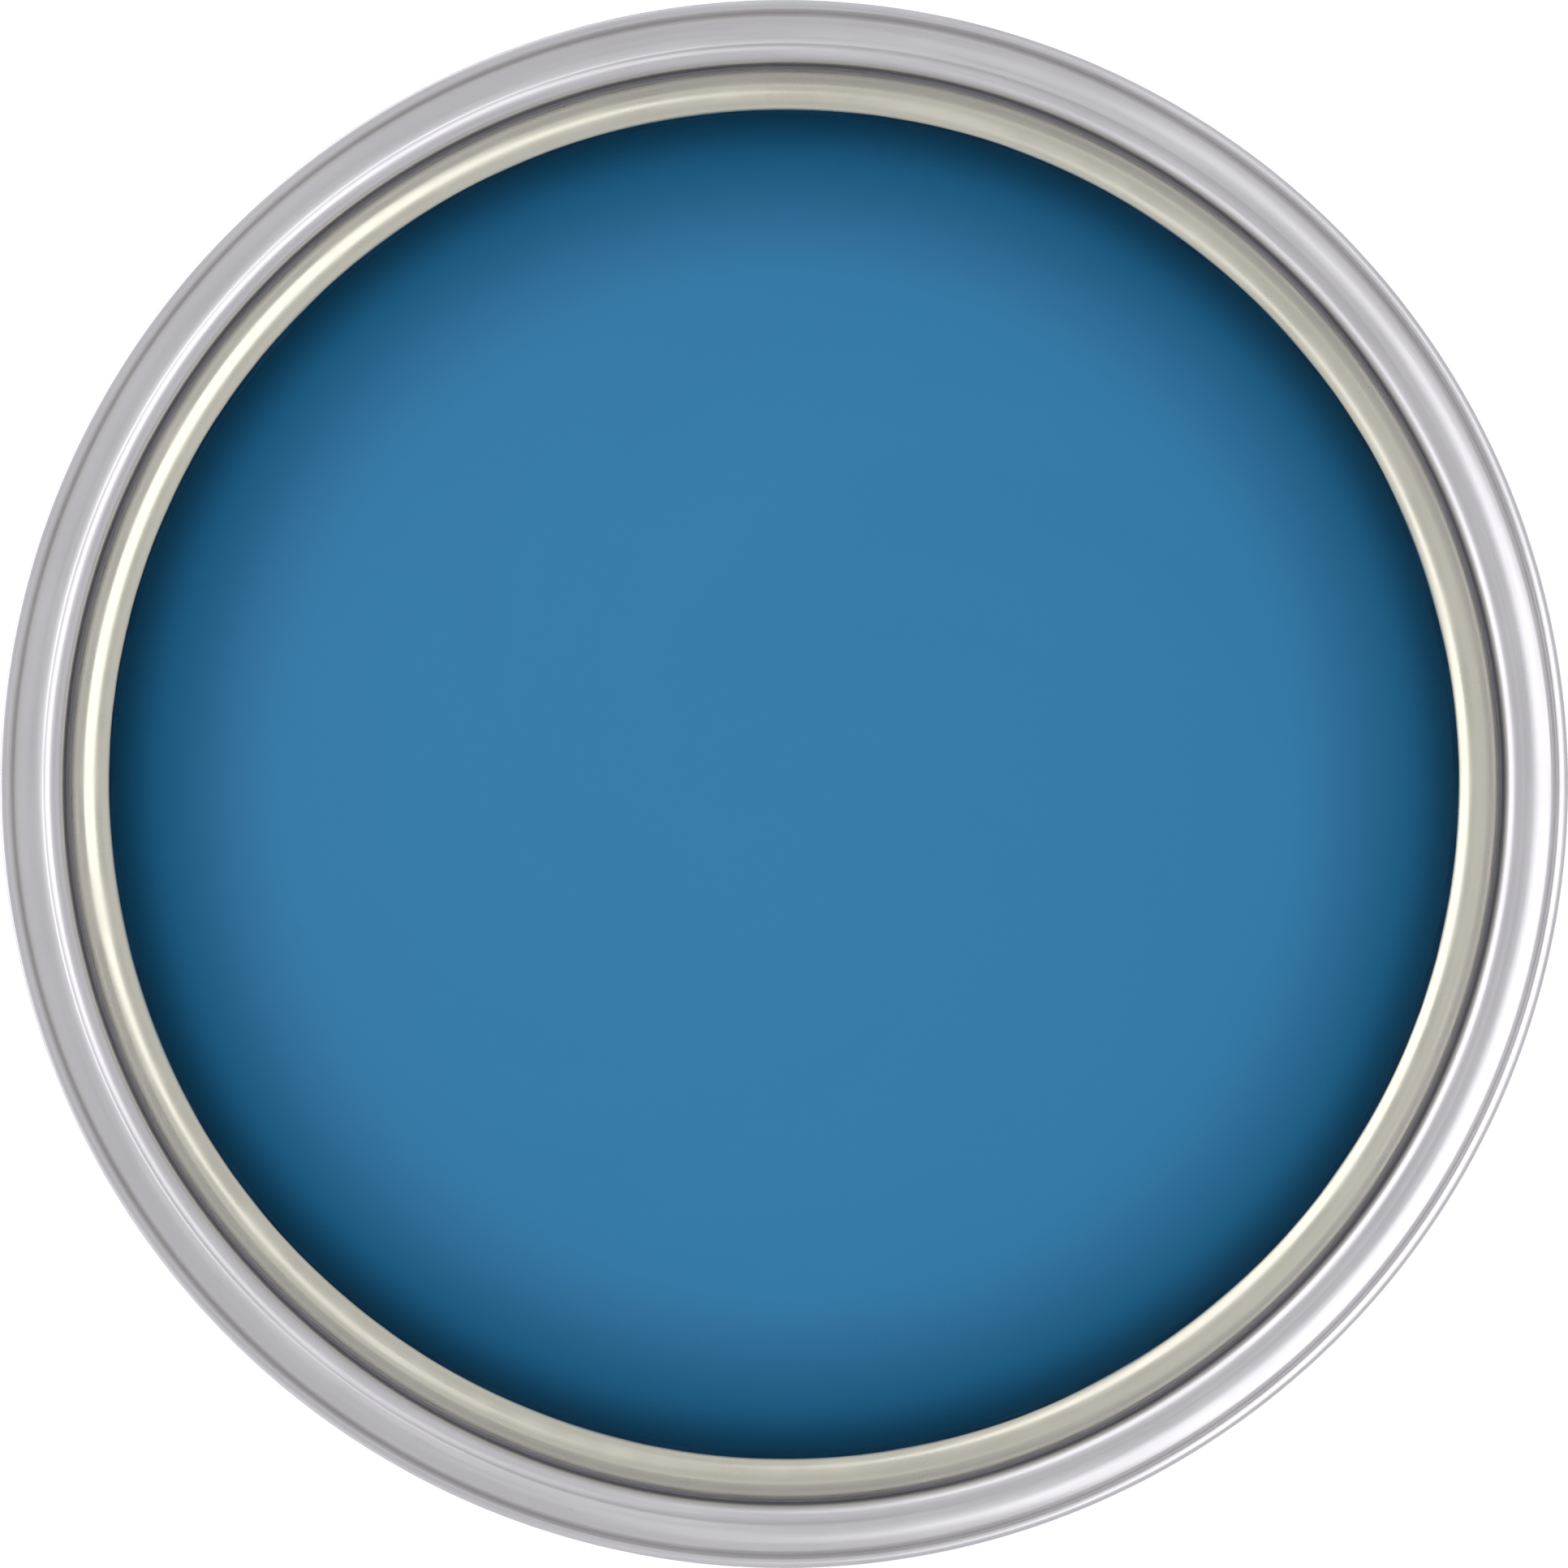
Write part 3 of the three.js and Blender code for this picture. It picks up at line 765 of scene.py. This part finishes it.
def bail(zinc):
    """The bail hangs in front of the tin with the middle of its loop against the label."""
    hang = math.acos(BAIL_REST / BAIL_REACH)
    half = bail_half()
    whole = half + [(-x, y, radius) for x, y, radius in half[-2::-1]]
    down = Vector((0, -math.cos(hang), -math.sin(hang)))
    across = Vector((1, 0, 0))
    normal = across.cross(down)
    centres = [across * x + down * y + Vector((0, 0, EAR_HEIGHT)) for x, y, _ in whole]
    sides = 20
    vertices = []
    for i, centre in enumerate(centres):
        before = centres[max(i - 1, 0)]
        after = centres[min(i + 1, len(centres) - 1)]
        tangent = (after - before).normalized()
        side = tangent.cross(normal)
        radius = max(whole[i][2], 0.01)
        for angle in even_angles(sides):
            vertices.append(centre + (side * math.cos(angle) + normal * math.sin(angle)) * radius)
    faces = grid_faces(len(centres), sides, close_columns=True)
    ends = [list(range(sides)), [len(vertices) - sides + i for i in range(sides)]]
    return mesh_object("bail_wire", vertices, faces + ends, [zinc])


bright = tinplate("tinplate_drawn", (0.58, 0.57, 0.60), (0.70, 0.69, 0.72)).material
rolled = tinplate("tinplate_rolled", (0.36, 0.36, 0.38), (0.60, 0.60, 0.62), across=900, along=60).material
lacquer = cream_lacquer("cream_lacquer").material
compound = sealing_compound().material

piece(body_shell(rolled, lacquer), "tin", "tinplate", "body_shell")
piece(bottom_end(bright, lacquer), "tin", "tinplate", "bottom_end")
piece(lever_ring(bright, lacquer), "tin", "tinplate", "lever_ring")
piece(paint(wet_paint().material), "tin", "blue_paint", "paint_fill")
piece(label(label_paper().material), "tin", "label_paper", "paper_label")
piece(ear("ear_right", 0, rolled), "tin", "tinplate", "right_ear")
piece(ear("ear_left", math.pi, rolled), "tin", "tinplate", "left_ear")
piece(bail(galvanised_wire().material), "bail", "galvanised_wire", "bail")
top_compound = seam_compound("top_compound", from_rim, compound)
piece(top_compound, "tin", "sealing_compound", "top_seam_compound")
bottom_compound = seam_compound("bottom_compound", list, compound)
piece(bottom_compound, "tin", "sealing_compound", "bottom_seam_compound")


# ---- Camera, floor and light ----


def direction(azimuth, tilt):
    """The unit vector at an azimuth, degrees from +X, and a tilt, degrees from straight up."""
    a, t = math.radians(azimuth), math.radians(tilt)
    return Vector((math.cos(a) * math.sin(t), math.sin(a) * math.sin(t), math.cos(t)))


def softbox(name, azimuth, tilt, width, height, radiance, glossy=True, diffuse=True):
    """A rectangular studio light aimed at the tin's mouth, which the camera doesn't see."""
    light = bpy.data.lights.new(name, "AREA")
    light.shape = "RECTANGLE"
    light.size = width
    light.size_y = height
    light.energy = radiance * math.pi * width * height
    made = bpy.data.objects.new(name, light)
    towards = direction(azimuth, tilt)
    made.location = Vector((0, 0, TIN_HEIGHT * MM)) + towards * LIGHT_DISTANCE
    made.rotation_euler = towards.to_track_quat("Z", "Y").to_euler()
    made.visible_camera = False
    made.visible_glossy = glossy
    made.visible_diffuse = diffuse
    bpy.context.scene.collection.objects.link(made)


def camera():
    """Straight above the middle of the tin, with the seam just filling the frame."""
    lens = bpy.data.cameras.new("camera")
    lens.sensor_width = SENSOR_WIDTH
    lens.lens = SENSOR_WIDTH / 2 * CAMERA_ABOVE_RIM / VIEW_HALF_WIDTH
    lens.clip_start = 0.01
    made = bpy.data.objects.new("camera", lens)
    made.location = (0, 0, TIN_HEIGHT * MM + CAMERA_ABOVE_RIM)
    bpy.context.scene.collection.objects.link(made)
    bpy.context.scene.camera = made


def floor():
    """A wide white table."""
    finish = Finish("table", Roughness=0.65, Emission_Color=(1.0, 1.0, 1.0), Emission_Strength=0.25)
    tone = finish.noise(6, detail=3)
    finish.set(Base_Color=finish.mix(tone, (0.88, 0.88, 0.88), (0.91, 0.91, 0.91)))
    turns = ((-1, -1), (1, -1), (1, 1), (-1, 1))
    corners = [(x * TABLE_HALF, y * TABLE_HALF, -TABLE_DROP) for x, y in turns]
    mesh_object("table", corners, [[0, 1, 2, 3]], [finish.material])


def room():
    """A pale studio, darkest overhead. It lights less than it shines in the tinplate."""
    world = bpy.data.worlds.new("room")
    world.use_nodes = True
    tree = world.node_tree
    background = tree.nodes["Background"]
    place = tree.nodes.new("ShaderNodeTexCoord")
    split = tree.nodes.new("ShaderNodeSeparateXYZ")
    ramp = tree.nodes.new("ShaderNodeValToRGB")
    rays = tree.nodes.new("ShaderNodeLightPath")
    strength = tree.nodes.new("ShaderNodeMapRange")
    strength.inputs["To Min"].default_value = 1.0
    strength.inputs["To Max"].default_value = ROOM_FILL
    ramp.color_ramp.elements.remove(ramp.color_ramp.elements[1])
    for i, (place_at, level) in enumerate(ROOM_RAMP):
        stop = ramp.color_ramp.elements[0] if i == 0 else ramp.color_ramp.elements.new(place_at)
        stop.position = place_at
        stop.color = (level, level, level * ROOM_BLUE, 1)
    tree.links.new(place.outputs["Generated"], split.inputs[0])
    tree.links.new(split.outputs["Z"], ramp.inputs[0])
    tree.links.new(ramp.outputs[0], background.inputs["Color"])
    tree.links.new(rays.outputs["Is Diffuse Ray"], strength.inputs["Value"])
    tree.links.new(strength.outputs[0], background.inputs["Strength"])
    bpy.context.scene.world = world


camera()
floor()
room()
softbox("overhead", azimuth=0, tilt=0, width=1.5, height=1.5, radiance=2.85, glossy=False)
softbox("key", azimuth=157, tilt=51, width=1.7, height=1.9, radiance=1.3, diffuse=False)
softbox("fill", azimuth=-20, tilt=45, width=1.7, height=0.8, radiance=0.13, diffuse=False)
softbox("strip", azimuth=233, tilt=34, width=0.1, height=0.9, radiance=1.6, diffuse=False)
bpy.context.scene.view_settings.view_transform = "Standard"
